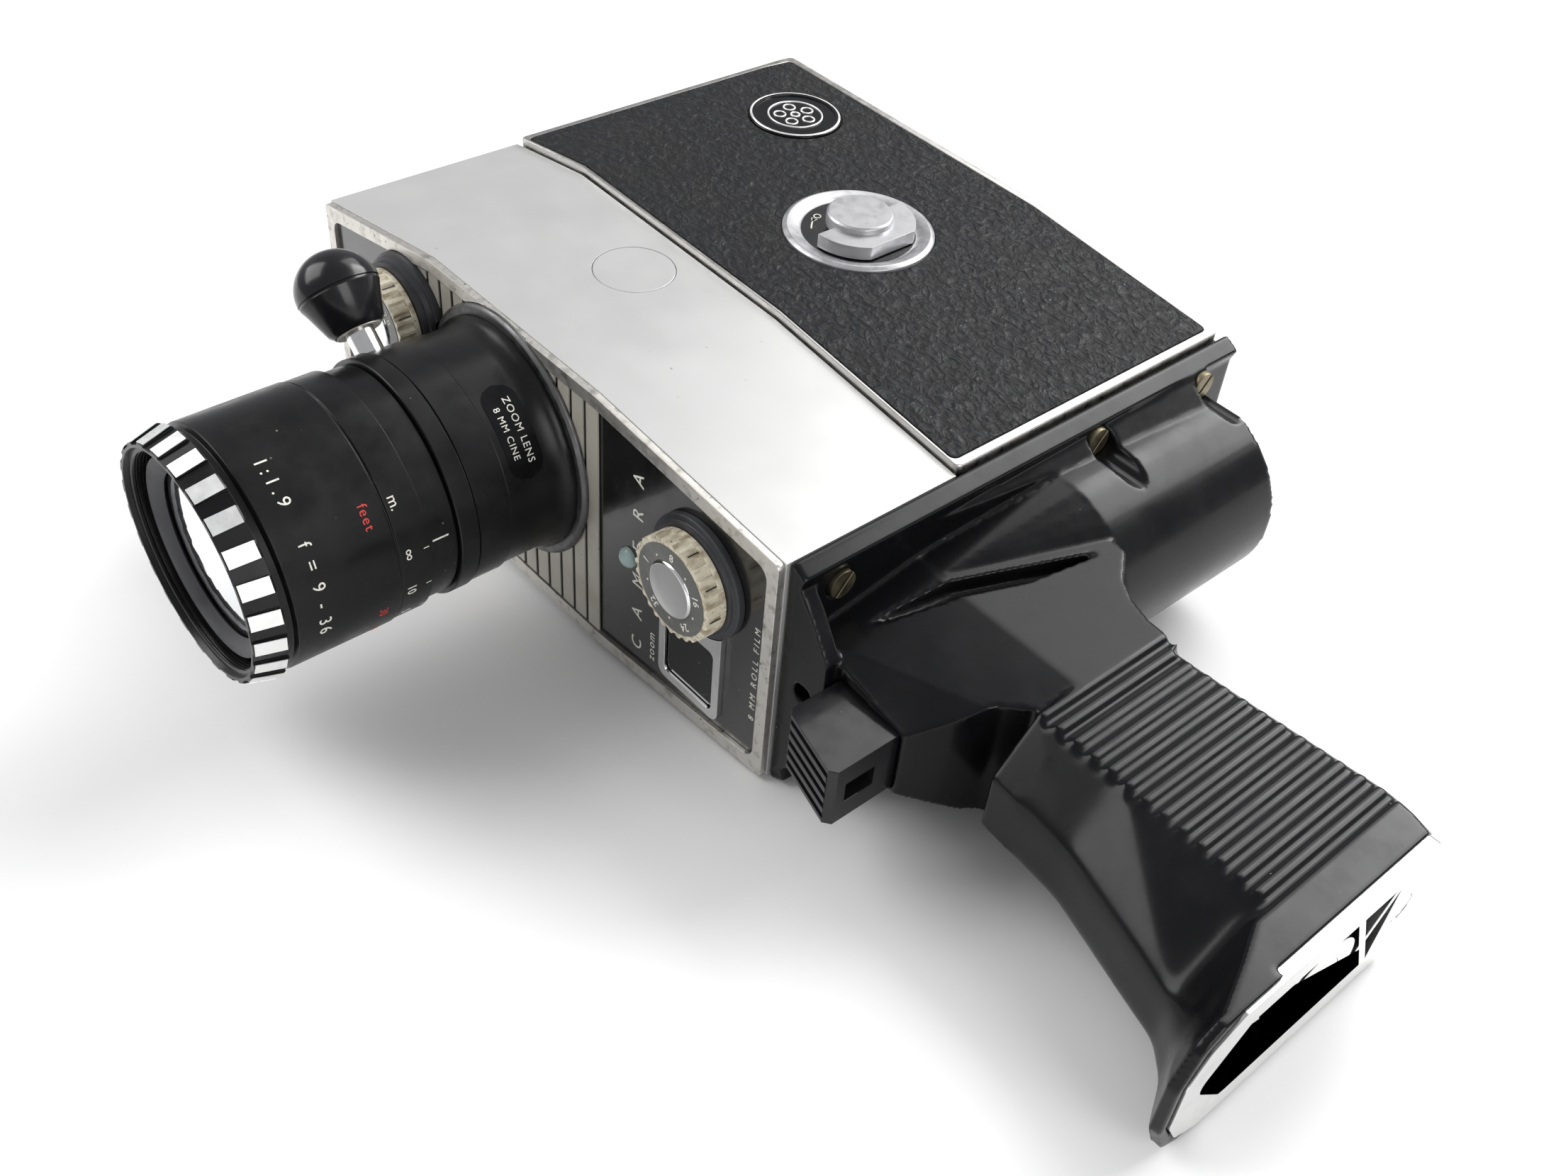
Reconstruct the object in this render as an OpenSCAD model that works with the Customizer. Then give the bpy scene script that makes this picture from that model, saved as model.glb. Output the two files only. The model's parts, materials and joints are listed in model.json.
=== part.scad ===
// Pistol-grip cine camera with a zoom lens, lying on its right side.
// +X runs from the top of the body to the foot of the grip, the lens looks along -Y,
// and +Z is the left side, where the film door lifts off.
// Modules work in a body frame: its origin is on the front plate's plane, on the body's mid-plane.

/* [Body] */
// Distance from the datum up to the top of the body
body_top = 55; // [54:0.5:57]
// Distance from the datum down to the underside of the body
body_bottom = 78; // [77.5:0.25:78.5]
// Depth of the body, front plate to back
body_depth = 107; // [106:0.5:109]
// Half the body's thickness between the creases
body_half = 28.1; // [28:0.05:28.4]
// Half the body's thickness at its lower edge
lower_half = 24.2; // [23.8:0.1:24.6]
// Half the body's thickness at its upper front edge
upper_half = 21.7; // [21.4:0.1:22]
// Wall of the housing and the casting
wall = 2.4; // [2.2:0.1:2.6]

/* [Lens] */
// Lens axis, measured down from the datum
lens_x = 5.4; // [5.2:0.1:5.6]
// Lens axis, measured towards the door side
lens_z = 4.9; // [4.7:0.1:5.1]
// Length of the lens in front of the plate
lens_length = 62.8; // [62.5:0.1:64]
// Outer radius of the focusing barrel
focus_r = 21.8; // [21.6:0.1:22]
// Outer radius of the fixed inner tube that the rings turn on
tube_r = 17; // [16.9:0.05:17.1]
// Angle of the zoom lever from the door side towards the body's top
lever_angle = 49; // [40:1:55]

/* [Grip] */
// Half the width of the grip across its ribbed sides
grip_half = 14.2; // [13.8:0.1:14.6]
// Face of the plate under the grip, measured down from the datum
foot_x = 170.4; // [170:0.1:171]
// Number of grooves in each side of the grip
groove_count = 13; // [8:1:13]
// Distance between grooves
groove_pitch = 3.44; // [3.3:0.02:3.46]
// Radius of the tripod screw's socket
tripod_r = 3.175; // [3.1:0.025:3.2]
// Outer radius of the finder tube
finder_r = 18.95; // [18.7:0.05:19.2]

/* [Fits] */
// Radial clearance of a shaft in its bore
fit = 0.05; // [0.03:0.01:0.08]

/* [Hidden] */
$fn = 48;

// Axes of the parts that turn
speed_x = 59;
speed_z = 8.7;
aperture_x = -26;
aperture_z = 13;
lock_x = 19;
lock_y = 69;
crank_x = 44;
crank_y = 69;
counter_x = -18;
counter_y = 88;
finder_x = 84.9;
eye_x = 91.6;
eye_r = 9.9;
mirror_y = 15.8;
shutter_x = lens_x - 14;
shutter_z = lens_z - 9;
supply_x = -16;
takeup_x = 47.5;
spool_y = 76;

// Planes and edges
seam_top = 40;
seam_fall = 1.3;
top_fall = 6.13;
lower_crease = 31;
door_proud = 1.4;
leather_proud = 1.5;
rest_z = body_half + leather_proud;
gate_y = 30;
partition_top = -6;
finder_rear = 98.9;
tripod_y = 20.5;
foot_screw_y = [-2, 43];
flange_rear = 108.5;

// Lens stations along its axis, and the radius of its flange
flange_r = 23.8;
barrel_front = -14.9;
zoom_front = -25.3;
sleeve_front = -30.6;
focus_front = -57.3;

// ---------- placing and drawing helpers ----------

// Shifts the body frame so that the origin is the middle of the box's underside
module place() {
    translate([(body_top - foot_x) / 2, (lens_length - flange_rear) / 2, rest_z]) children();
}

// Extrusions of a flat outline: (x, z) along Y, (x, y) along Z and (y, z) along X
module slab_y(y0, y1) {
    translate([0, y1, 0]) rotate([90, 0, 0]) linear_extrude(y1 - y0) children();
}

module slab_z(z0, z1) {
    translate([0, 0, z0]) linear_extrude(z1 - z0) children();
}

module slab_x(x0, x1) {
    translate([x0, 0, 0]) rotate([90, 0, 90]) linear_extrude(x1 - x0) children();
}

// Round bars along each axis
module bar_x(r, x0, x1) {
    translate([x0, 0, 0]) rotate([0, 90, 0]) cylinder(r = r, h = x1 - x0);
}

module bar_y(r, y0, y1) {
    translate([0, y0, 0]) rotate([-90, 0, 0]) cylinder(r = r, h = y1 - y0);
}

module bar_z(r, z0, z1) {
    translate([0, 0, z0]) cylinder(r = r, h = z1 - z0);
}

module block(lo, hi) {
    translate(lo) cube(hi - lo);
}

// A profile of (radius, y) points turned about a line along Y
module turned_y(points) {
    rotate([-90, 0, 0]) rotate_extrude() polygon(points);
}

module turned_z(points) {
    rotate_extrude() polygon(points);
}

module at_xz(x, z) {
    translate([x, 0, z]) children();
}

module at_xy(x, y) {
    translate([x, y, 0]) children();
}

module on_lens() {
    at_xz(lens_x, lens_z) children();
}

module both_sides() {
    for (side = [0, 1]) mirror([0, 0, side]) children();
}

// Outline with every corner rounded by the same radius
function unit(v) = v / norm(v);
function turn(a, b) = let(d = b - a) d > 180 ? d - 360 : (d < -180 ? d + 360 : d);
function rounded_corner(a, b, c, r) = let(
        u = unit(a - b),
        v = unit(c - b),
        half = acos(u * v) / 2,
        centre = b + unit(u + v) * r / sin(half),
        start = b + u * r / tan(half) - centre,
        end = b + v * r / tan(half) - centre,
        a0 = atan2(start[1], start[0]),
        sweep = turn(a0, atan2(end[1], end[0])),
        steps = ceil(abs(sweep) / 15)
    ) [for (i = [0:steps]) centre + r * [cos(a0 + sweep * i / steps), sin(a0 + sweep * i / steps)]];
function rounded(p, r) = let(n = len(p))
    [for (i = [0:n - 1]) each rounded_corner(p[(i + n - 1) % n], p[i], p[(i + 1) % n], r)];

// ---------- the body's outer shape ----------

// Everything inside the hexagonal body: flat sides, lower facets, upper facets and a falling top
module body_block(grow, y0, y1) {
    top = -body_top - grow;
    low = body_bottom + grow;
    wide = body_half + grow;
    edge = lower_half + grow;
    outline = [
        [top, wide], [lower_crease, wide], [low, edge],
        [low, -edge], [lower_crease, -wide], [top, -wide]
    ];
    difference() {
        slab_y(y0, y1) polygon(outline);
        translate([top, 0, 0]) rotate([0, 0, -top_fall]) block([-40, -30, -60], [0, 160, 60]);
        both_sides() translate([-body_top, 0, upper_half + grow])
            rotate([2.4, -9.9, 0]) block([-30, -30, 0], [120, 150, 30]);
    }
}

// The front outline as a flat shape, drawn in by an inset and rounded at its corners
module front_outline(inset, r) {
    top = -body_top + inset;
    low = body_bottom - inset;
    crease = -18.4;
    wide = body_half - inset;
    upper = upper_half - inset;
    lower = lower_half - inset;
    right = [[top, upper], [crease, wide], [lower_crease, wide], [low, lower]];
    left = [[low, -lower], [lower_crease, -wide], [crease, -wide], [top, -upper]];
    polygon(rounded(concat(right, left), r));
}

// Side outline of a cover behind the seam, with its own gap at the seam and inset at the other edges
module side_outline(seam_gap, inset) {
    front_top = seam_top + seam_gap;
    front_low = seam_top + seam_gap - (body_top + body_bottom) * tan(seam_fall);
    back = body_depth - inset;
    top_front = -body_top + inset + front_top * tan(top_fall);
    top_back = -body_top + inset + back * tan(top_fall);
    low = body_bottom - inset;
    polygon(rounded([[top_front, front_top], [low, front_low], [low, back], [top_back, back]], 1.2));
}

// Skin of one side: the body's shape moved out by one amount, less the same moved out by another
module side_skin(outer, inner) {
    difference() {
        translate([0, 0, outer]) body_block(0, 30, body_depth);
        translate([0, 0, inner]) body_block(0, 20, body_depth + 10);
        block([-70, 0, -60], [90, 120, 12]);
    }
}

// ---------- housings and covers ----------

module front_housing() place() color("silver") difference() {
    body_block(0, 0.2, seam_top);
    body_block(-wall, -1, seam_top + 1);
    translate([-body_top, seam_top, 0]) rotate([0, 0, -seam_fall]) block([-10, 0, -40], [150, 20, 40]);
    battery_place() bar_z(7.6, 10, 40);
    translate([0, mirror_y, 0]) bar_x(9, 70, 90);
    screw_holes();
}

// The meter's cell stands in a cup under a cover in the silver side
module battery_place() {
    at_xy(4.5, 27.3) children();
}

module battery_cover() place() color("lightgray") battery_place() turned_z([
    [0, 24.6], [6.4, 24.6], [6.4, 25.4], [7.5, 25.4], [7.5, 28.1], [0, 28.1]
]);

module battery_cell() place() color("gainsboro") battery_place() turned_z([
    [0, 19.5], [7.2, 19.5], [7.2, 23.3], [5, 23.3], [5, 24.4], [0, 24.4]
]);

module body_casting() place() color("#1b1b1d") {
    difference() {
        casting_shell();
        battery_place() bar_z(7.8, 10, 30);
        screw_holes();
    }
    battery_place() turned_z([
        [0, 18.4], [8.8, 18.4], [8.8, 25.3], [7.3, 25.3], [7.3, 19.4], [0, 19.4]
    ]);
    // post that the door's lock stands over
    at_xy(lock_x, lock_y) {
        bar_z(3, partition_top - 0.5, 24.6);
        bar_z(4, partition_top - 0.5, partition_top + 1.5);
    }
}

module casting_shell() difference() {
    union() {
        intersection() {
            translate([0, 0, -1.05]) body_block(0, seam_top + 0.2, body_depth);
            translate([0, 0, 1.05]) body_block(0, seam_top + 0.2, body_depth);
        }
        body_block(-wall - 0.2, gate_y - 2, seam_top + 3);
    }
    // film chamber and mechanism chamber, either side of the partition
    intersection() {
        body_block(-wall - 2, gate_y, body_depth - wall);
        block([-70, 0, partition_top], [90, 120, 40]);
    }
    intersection() {
        body_block(-wall - 2, gate_y, body_depth - wall);
        block([-70, 0, -40], [90, 120, partition_top - 2]);
    }
    side_mouth(18, 40);
    mirror([0, 0, 1]) side_mouth(18, 40);
    on_lens() bar_y(8, 20, 40);
    slab_y(20, 40) translate([lens_x - 4, -6]) square([8, 9]);
    at_xz(shutter_x, shutter_z) bar_y(1.5 + fit, 20, 40);
    at_xy(supply_x, spool_y) bar_z(3 + fit, -10, 0);
    at_xy(takeup_x, spool_y) bar_z(3 + fit, -10, 0);
}

// Opens a chamber to its side within the casting's walls
module side_mouth(z0, z1) {
    front = gate_y + 12.6;
    back = body_depth - 4.4;
    slab_z(z0, z1) polygon([[-41, front], [73.4, front], [73.4, back], [-38, back]]);
}

module door_panel() place() color("#cfd0d2") difference() {
    intersection() {
        side_skin(door_proud, -0.85);
        slab_z(10, 40) side_outline(0.35, 0.3);
    }
    intersection() {
        side_skin(10, 0.7);
        slab_z(10, 40) side_outline(1.1, 2.05);
    }
    at_xy(lock_x, lock_y) bar_z(3 + fit, 10, 40);
}

module leather_sheet() intersection() {
    side_skin(leather_proud, 0.7);
    slab_z(10, 40) side_outline(1.15, 2.1);
}

module door_leather() place() color("#26272a") difference() {
    leather_sheet();
    at_xy(lock_x, lock_y) bar_z(14.55, 10, 40);
    badge_place() bar_z(9.8, -5, 10);
}

// The badge lies on the upper facet of the side
module badge_place() {
    translate([-22, 89, body_half + 0.7]) children();
}

module door_badge() place() color("#3a3b3d") badge_place() turned_z([
    [0, 0], [9.7, 0], [9.7, 1], [9.2, 1.3], [8.3, 1.3], [8.3, 1], [0, 1]
]);

module lock_ring() place() color("#d8d9da") at_xy(lock_x, lock_y) turned_z([
    [3 + fit, 28.85], [14.5, 28.85], [14.5, 29.9], [13.7, 30.4], [12.4, 30.2], [11, 29.45], [3 + fit, 29.45]
]);

module lock_key() place() color("#c4c6c8") at_xy(lock_x, lock_y) {
    bar_z(3, 26.7, 31);
    turned_z([[0, 25.2], [6.5, 25.2], [6.5, 26.8], [0, 26.8]]);
    block([-11, -2.5, 25.2], [11, 2.5, 26.8]);
    turned_z([[0, 31], [6.4, 31], [6.4, 33.3], [6, 33.7], [0, 33.7]]);
    // wing on the lower side, cut straight where the fingers push
    intersection() {
        bar_z(10.6, 29.8, 32.4);
        block([0, -11, 29], [9.2, 11, 33]);
    }
}

module right_cover() place() color("#cfd0d2") {
    mirror([0, 0, 1]) difference() {
        intersection() {
            side_skin(door_proud, -0.85);
            slab_z(10, 40) side_outline(0.35, 0.3);
        }
        intersection() {
            side_skin(10, 0.7);
            slab_z(10, 40) side_outline(1.1, 2.05);
        }
        at_xy(crank_x, crank_y) bar_z(24.2, 10, 40);
        at_xy(counter_x, counter_y) bar_z(6, 10, 40);
    }
    // dish that the winding crank folds into, its rim flush with the leather
    intersection() {
        at_xy(crank_x, crank_y) turned_z([
            [4 + fit, -22.6], [25.4, -22.6], [25.4, -30], [24.2, -30], [24.2, -24.2], [4 + fit, -24.2]
        ]);
        translate([0, 0, -leather_proud]) body_block(0, 20, body_depth);
    }
}

module right_leather() place() color("#26272a") mirror([0, 0, 1]) difference() {
    leather_sheet();
    at_xy(crank_x, crank_y) bar_z(25.5, 10, 40);
    at_xy(counter_x, counter_y) bar_z(7.2, 10, 40);
}

module counter_window() place() color("#88959b") at_xy(counter_x, counter_y) turned_z([
    [0, -28.8], [7.1, -28.8], [7.1, -29.5], [0, -29.5]
]);

module counter_dial() place() color("white") at_xy(counter_x - 6, counter_y - 4) {
    turned_z([[0, -26.4], [11.5, -26.4], [11.5, -25.4], [2.2, -25.4], [2.2, -22.4], [0, -22.4]]);
    bar_z(1.4, -22.5, -12);
}

// ---------- front plate ----------

module front_bezel() place() color("#c9c9c7") difference() {
    slab_y(-1.2, 0.2) front_outline(0.15, 1);
    slab_y(-2, 1) front_outline(2.7, 2.6);
    on_lens() bar_y(flange_r + fit, -2, -0.85);
    at_xz(aperture_x, aperture_z) bar_y(11.6, -2, -0.35);
}

module name_panel() place() color("#0c0c0e") difference() {
    union() {
        slab_y(-0.4, 0.2) front_outline(2.8, 2.5);
        slab_y(0.2, 2) front_outline(wall + 0.2, 1);
    }
    on_lens() bar_y(tube_r + 0.45, -5, 5);
    at_xz(speed_x, speed_z) bar_y(2 + fit, -5, 5);
    at_xz(aperture_x, aperture_z) bar_y(2 + fit, -5, 5);
    at_xz(39.8, -1.3) bar_y(2.05, -5, 5);
    slab_y(-5, 5) translate([51.8, -18.4]) square([12.4, 13.4]);
}

module stripe_panel() place() color("#c3beb3") difference() {
    slab_y(-0.9, -0.4) intersection() {
        front_outline(3, 2.3);
        translate([-23.6, -40]) square([55.3, 80]);
    }
    for (i = [1:13]) block([31.5 - 3.95 * i, -1.5, -40], [32.4 - 3.95 * i, -0.6, 40]);
    on_lens() bar_y(tube_r + 0.45, -5, 5);
    at_xz(aperture_x, aperture_z) bar_y(11.8, -5, 5);
}

module meter_frame() place() color("#b9b9b6") difference() {
    slab_y(-1.6, -0.4) polygon(rounded([[50, -20.2], [66.3, -20.2], [66.3, 2], [50, 2]], 2));
    slab_y(-5, 5) polygon(rounded([[51.7, -18.5], [64.5, -18.5], [64.5, -4.9], [51.7, -4.9]], 1.2));
    at_xz(speed_x, speed_z) bar_y(11.5, -5, 5);
}

module meter_glass() place() color("#0a0b10") slab_y(-1, 1.8)
    polygon(rounded([[51.85, -18.35], [64.1, -18.35], [64.1, -5.05], [51.85, -5.05]], 1.2));

module indicator_bead() place() color("#bcd6cf") at_xz(39.8, -1.3) turned_y(concat(
    [[0, 1.8], [2, 1.8]], [for (i = [0:5]) [2 * cos(18 * i), -0.4 - 1.6 * sin(18 * i)]]
));

// ---------- dials ----------

// Rim of a dial with finger scallops
function scalloped(r, n) = [
    for (i = [0:4 * n - 1]) (r + 0.35 * sin(90 * i + 45)) * [cos(90 * i / n), sin(90 * i / n)]
];

module dial_knob(back, front, r) {
    difference() {
        union() {
            slab_y(front, back - 1) polygon(scalloped(r, 28));
            bar_y(r + 0.2, back - 1, back);
            bar_y(2, back - 0.5, 7);
        }
        bar_y(5.3, front - 1, front + 0.9);
    }
}

module dial_cap(y) {
    turned_y([
        [0, y + 1.2], [5.25, y + 1.2], [5.25, y + 0.1], [4.9, y - 0.25], [4.4, y - 0.1], [0, y + 0.35]
    ]);
}

module speed_dial_base() place() color("#55565a") at_xz(speed_x, speed_z) turned_y([
    [2 + fit, -0.4], [11.3, -0.4], [11.3, -1.7], [10.2, -1.9], [10.2, -2.6], [2 + fit, -2.6]
]);

module speed_dial() place() color("#d9d5c4") at_xz(speed_x, speed_z) dial_knob(-2.75, -6.6, 9.2);

module speed_dial_cap() place() color("#c8cacc") at_xz(speed_x, speed_z) dial_cap(-6.9);

module aperture_dial_base() place() color("#2a2a2c") difference() {
    at_xz(aperture_x, aperture_z) turned_y([
        [2 + fit, -0.4], [11.5, -0.4], [11.5, -2], [10.9, -2.2], [10.9, -3.2], [10.3, -3.4], [10.3, -4.4],
        [2 + fit, -4.4]
    ]);
    on_lens() {
        bar_y(flange_r + fit, -2.2, 0);
        bar_y(22.1, -5, 0);
    }
}

module aperture_dial() place() color("#d9d5c4") at_xz(aperture_x, aperture_z) dial_knob(-4.55, -8.8, 9.2);

module aperture_dial_cap() place() color("#c8cacc") at_xz(aperture_x, aperture_z) dial_cap(-9.1);

// ---------- zoom lens ----------

module lens_flange() place() color("#8e9092") on_lens() turned_y([
    [tube_r + 0.45, -0.9], [flange_r, -0.9], [flange_r, -1.6], [flange_r - 0.6, -2.1], [tube_r + 0.45, -2.1]
]);

module lens_barrel() place() color("#111214") on_lens() turned_y([
    [14.5, 8], [tube_r + 0.4, 8], [tube_r + 0.4, -2.1], [22, -2.1], [22, -2.9], [21.2, -4.4], [20.9, -6.5],
    [20.9, barrel_front], [tube_r, barrel_front], [tube_r, -44], [14.5, -44]
]);

module index_sleeve() place() color("#131416") on_lens() turned_y([
    [tube_r, zoom_front], [20.6, zoom_front], [20.8, zoom_front - 0.4],
    [20.8, sleeve_front], [tube_r, sleeve_front]
]);

module zoom_ring() place() color("#101113") on_lens() difference() {
    turned_y([
        [tube_r + fit, barrel_front - 0.15], [21.3, barrel_front - 0.15], [21.3, -21.3], [21, -21.4],
        [21, -21.7], [21.6, -21.8], [21.6, zoom_front + 0.3],
        [21.4, zoom_front + 0.12], [tube_r + fit, zoom_front + 0.12]
    ]);
    lever_place() bar_z(2.6, 18, 30);
}

// Line along the lever, out from the lens axis
module lever_place() {
    translate([0, -18.1, 0]) rotate([0, -lever_angle, 0]) children();
}

module zoom_rod() place() color("#d6d8da") on_lens() lever_place() bar_z(2.6, 18, 28.4);

module zoom_knob() place() color("#141416") on_lens() lever_place() turned_z(concat(
    [[0, 28.4], [2.9, 28.4], [2.9, 26.2], [4.4, 25.8], [6.9, 31.4], [7.5, 32.8], [7.3, 33]],
    [for (i = [0:8]) [7.65 * cos(11.25 * i), 33.2 + 7.2 * sin(11.25 * i)]]
));

// Biconvex glass between two sagging faces, as a profile of radius and y
function lens_face(r, y, sag, n) = [for (i = [0:n]) [r * i / n, y + sag * (i * i) / (n * n)]];
function reversed(v) = [for (i = [len(v) - 1:-1:0]) v[i]];

module glass(r, front, back, bulge) {
    front_face = lens_face(r, front - bulge, bulge, 8);
    back_face = lens_face(r, back + bulge, -bulge, 8);
    turned_y(concat(front_face, reversed(back_face)));
}

module variator_cell() place() color("#b08d3c") on_lens() turned_y([
    [11.2, -30], [14.5 - fit, -30], [14.5 - fit, -37], [11.2, -37]
]);

module variator_lens() place() color("#9fb7c4") on_lens() glass(11.2, -35.5, -32.5, 1);

module front_cell() place() color("#17181a") on_lens() turned_y([
    [15.5, -46], [19 - fit, -46], [19 - fit, -58.2], [18.4, -58.9], [16.6, -58.4], [15.5, -57.2]
]);

module front_lens() place() color("#a9c2cf") on_lens() glass(15.5, -57.8, -52.6, 2);

module focus_barrel() place() color("#111214") on_lens() turned_y([
    [tube_r + fit, sleeve_front - 0.15], [focus_r - 0.2, sleeve_front - 0.15], [focus_r - 0.2, -36.4],
    [focus_r - 0.45, -36.5], [focus_r - 0.45, -36.8], [focus_r, -36.9], [focus_r, -55.4],
    [focus_r - 0.9, -55.9], [focus_r - 0.9, focus_front], [19, focus_front], [19, -45], [tube_r + fit, -44.6]
]);

// Grip ring with flat bars standing between shallow flutes
module fluted_ring() place() color("#26272a") on_lens() difference() {
    turned_y([
        [19.2, focus_front], [22.2, focus_front], [22.4, focus_front - 0.5],
        [21, -lens_length], [20.1, -lens_length], [19.6, -lens_length + 1.4], [19.2, -lens_length + 1.8]
    ]);
    for (i = [0:23]) rotate([0, 15 * i, 0]) translate([0, -60, 21.6]) rotate([14, 0, 0])
        block([-1.45, -4, -0.3], [1.45, 4, 3]);
}

module relay_lens() place() color("#9fb7c4") on_lens() {
    glass(10, -9, -6, 0.8);
    turned_y([[10, -4], [14.5, -4], [14.5, -11], [10, -11]]);
}

module prism_bracket() place() color("#8a8c8e") on_lens() {
    turned_y([[6.5, 8], [16.6, 8], [16.6, 9.6], [6.5, 9.6]]);
    for (side = [-1, 1]) block([-6.5, 9.6, side * 7.4 - 0.8], [6.5, 22, side * 7.4 + 0.8]);
}

module beam_prism() place() color("#b6cdd8") on_lens() block([-6.5, 9.6, -6.6], [6.5, 22, 6.6]);

// ---------- base, grip and trigger ----------

// Screws that hold the base to the body: [y, z, seat]
screw_seats = [[9.5, 17.6, 80.3], [69, 19.6, 81.2], [97.5, 20.2, 82]];

module screw_holes() {
    for (s = screw_seats) both_sides() translate([0, s[0], s[1]]) bar_x(1.6, 72.9, 90);
}

// Hood seen from the side, in x and y, down to where the ribbed grip begins
module hood_side() {
    polygon([
        [80, 3.9], [104.2, 2.6], [108.4, 8.7], [111.7, 14.9], [115.9, 18.2], [119.2, 16.9], [121, 16.9],
        [121, 46.1], [114.8, 46.4], [109.8, 47.9], [105.6, 50.6], [101, 56.5], [80, 58]
    ]);
}

// One cross-section of the grip, as a thin slab: nose, shoulder and rear stations along y, and how
// far its cheeks swell
module grip_slab(x, nose, shoulder, rear, round) {
    cheek_y = nose + 0.3 * (shoulder - nose);
    cheek_z = 5.4 + (0.3 + round) * (grip_half - 5.4);
    right = [[nose, 5.4], [cheek_y, cheek_z], [shoulder, grip_half]];
    corner = grip_half - 2.5;
    back = [[rear - 2.5, grip_half], [rear, corner], [rear, -corner], [rear - 2.5, -grip_half]];
    left = [[shoulder, -grip_half], [cheek_y, -cheek_z], [nose, -5.4]];
    slab_x(x, x + 0.2) polygon(concat(right, back, left));
}

grip_stations = [
    [117.3, 8.6, 16.9, 46.1, 0], [134, 6.8, 16.8, 47.2, 0], [160, -1.1, 16.3, 49.4, 0],
    [164.6, -5, 6.2, 48.8, 0.15], [168.3, -11.5, -3, 47.6, 0.36]
];

module grip_shape() {
    for (i = [0:len(grip_stations) - 2]) hull() for (station = [grip_stations[i], grip_stations[i + 1]])
        grip_slab(station[0], station[1], station[2], station[3], station[4]);
}

module hood_shape() difference() {
    slab_z(-grip_half, grip_half) hood_side();
    both_sides() {
        // the beak narrows towards the front, and its lower edge is bevelled
        translate([80, 3.6, 10.2]) rotate([10, 0, 0]) block([-5, -20, 0], [42, 23, 10]);
        translate([83.5, 3.8, 10.2]) rotate([30.7, 7.8, 0]) block([-10, -30, 0], [30, 20, 12]);
        // valley between the hood's two ridges
        slab_z(11.2, 20) polygon([[85.5, 9], [88.6, 27], [99.3, 55], [96.3, 37]]);
    }
}

// Finder tube, blended forwards into the beak
module finder_shape() {
    at_xz(finder_x, 0) bar_y(finder_r, 57, finder_rear);
    hull() {
        at_xz(finder_x, 0) rotate([-90, 0, 0]) translate([0, 0, 57])
            cylinder(r = finder_r, h = 0.4, $fn = 32);
        block([80, 28.6, -14.4], [87, 29, 14.4]);
    }
    hull() {
        block([80, 28.6, -14.4], [87, 29, 14.4]);
        block([80, 4, -9.8], [83.5, 4.2, 9.8]);
    }
    hull() {
        block([80, 29, -20], [80.9, 29.2, 20]);
        slab_y(finder_rear - 0.4, finder_rear)
            polygon([[80, 22.6], [81.8, 22.9], [87.4, 18.4], [87.4, -18.4], [81.8, -22.9], [80, -22.6]]);
    }
}

// Flange under the body with a raised, bevelled edge and a lip across the front
module base_flange() {
    slab_y(0.8, flange_rear) polygon([
        [78, 24.3], [79, 24.5], [81.8, 22.9], [80.9, 20.6],
        [80.9, -20.6], [81.8, -22.9], [79, -24.5], [78, -24.3]
    ]);
    lip = [[79, 23], [84, 17], [88.4, 9.8], [88.4, -9.8], [84, -17], [79, -23]];
    slab_y(0.8, 3.9) polygon(rounded(lip, 1.2));
}

// Rim that runs round the toe of the foot plate
module toe_rim() difference() {
    slab_x(168.3, foot_x - 0.35) intersection() {
        foot_outline(-1.7);
        translate([-20, -grip_half]) square([28, 2 * grip_half]);
    }
    slab_x(168.5, 180) foot_outline(-0.1);
}

module grip_casting() place() color("#141517") difference() {
    union() {
        base_flange();
        finder_shape();
        hood_shape();
        grip_shape();
        toe_rim();
    }
    block([60, -20, -40], [body_bottom, 120, 40]);
    screw_holes();
    for (s = screw_seats) both_sides() translate([0, s[0], s[1]]) bar_x(2.9, s[2], 100);
    both_sides() for (i = [0:groove_count - 1]) translate([119.6 + groove_pitch * i, 10, grip_half])
        rotate([-90, 0, 0]) cylinder(r = 1.15, h = 50, $fn = 4);
    // light path of the finder: mirror's pocket, passage, tube and eyepiece seat
    block([76, mirror_y - 6.5, -8], [88, mirror_y + 6.5, 8]);
    block([80, mirror_y, -6], [87.5, 36, 6]);
    at_xz(eye_x, 0) {
        bar_y(8, 34, 90);
        bar_y(eye_r + fit, 88.5, 110);
    }
    // trigger's guide, its stem's bore and the release socket
    block([88.4, -2, -6.3], [103.5, 18, 6.3]);
    translate([95.6, 0, 0]) bar_y(3.4, 17, 31);
    translate([83.6, 0, 0]) bar_y(1.9, 0, 7);
    // recess over the tripod bush, and the tapped holes beside it
    slab_x(157, 180) polygon(rounded([[11, 9.5], [31, 9.5], [31, -9.5], [11, -9.5]], 2));
    for (y = foot_screw_y) translate([0, y, 0]) bar_x(1.5, 163.5, 180);
}

module base_screws() place() color("#b59b54") for (s = screw_seats) both_sides()
    translate([0, s[0], s[1]]) difference() {
        union() {
            bar_x(2.6, s[2], s[2] + 1.3);
            bar_x(1.6, 73, s[2]);
        }
        rotate([50, 0, 0]) block([s[2] + 0.6, -3, -0.35], [s[2] + 2, 3, 0.35]);
    }

module trigger() place() color("#17181a") difference() {
    union() {
        slab_z(-6, 6) polygon([
            [88.8, 13], [88.8, -6.4], [89.8, -7.4], [101.8, -10.6], [103.1, -9.6], [103.1, 13]
        ]);
        translate([95.6, 0, 0]) bar_y(1.5, 12.9, 22);
    }
    // ribs for the finger and the square hole in the underside
    for (i = [-2:2]) translate([89, -9.2, 2.3 * i]) rotate([0, 0, -14.4])
        block([-2, -3, -0.55], [12.6, 2.9, 0.55]);
    block([99.5, -7.6, -2], [104, -1.6, 2]);
}

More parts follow.
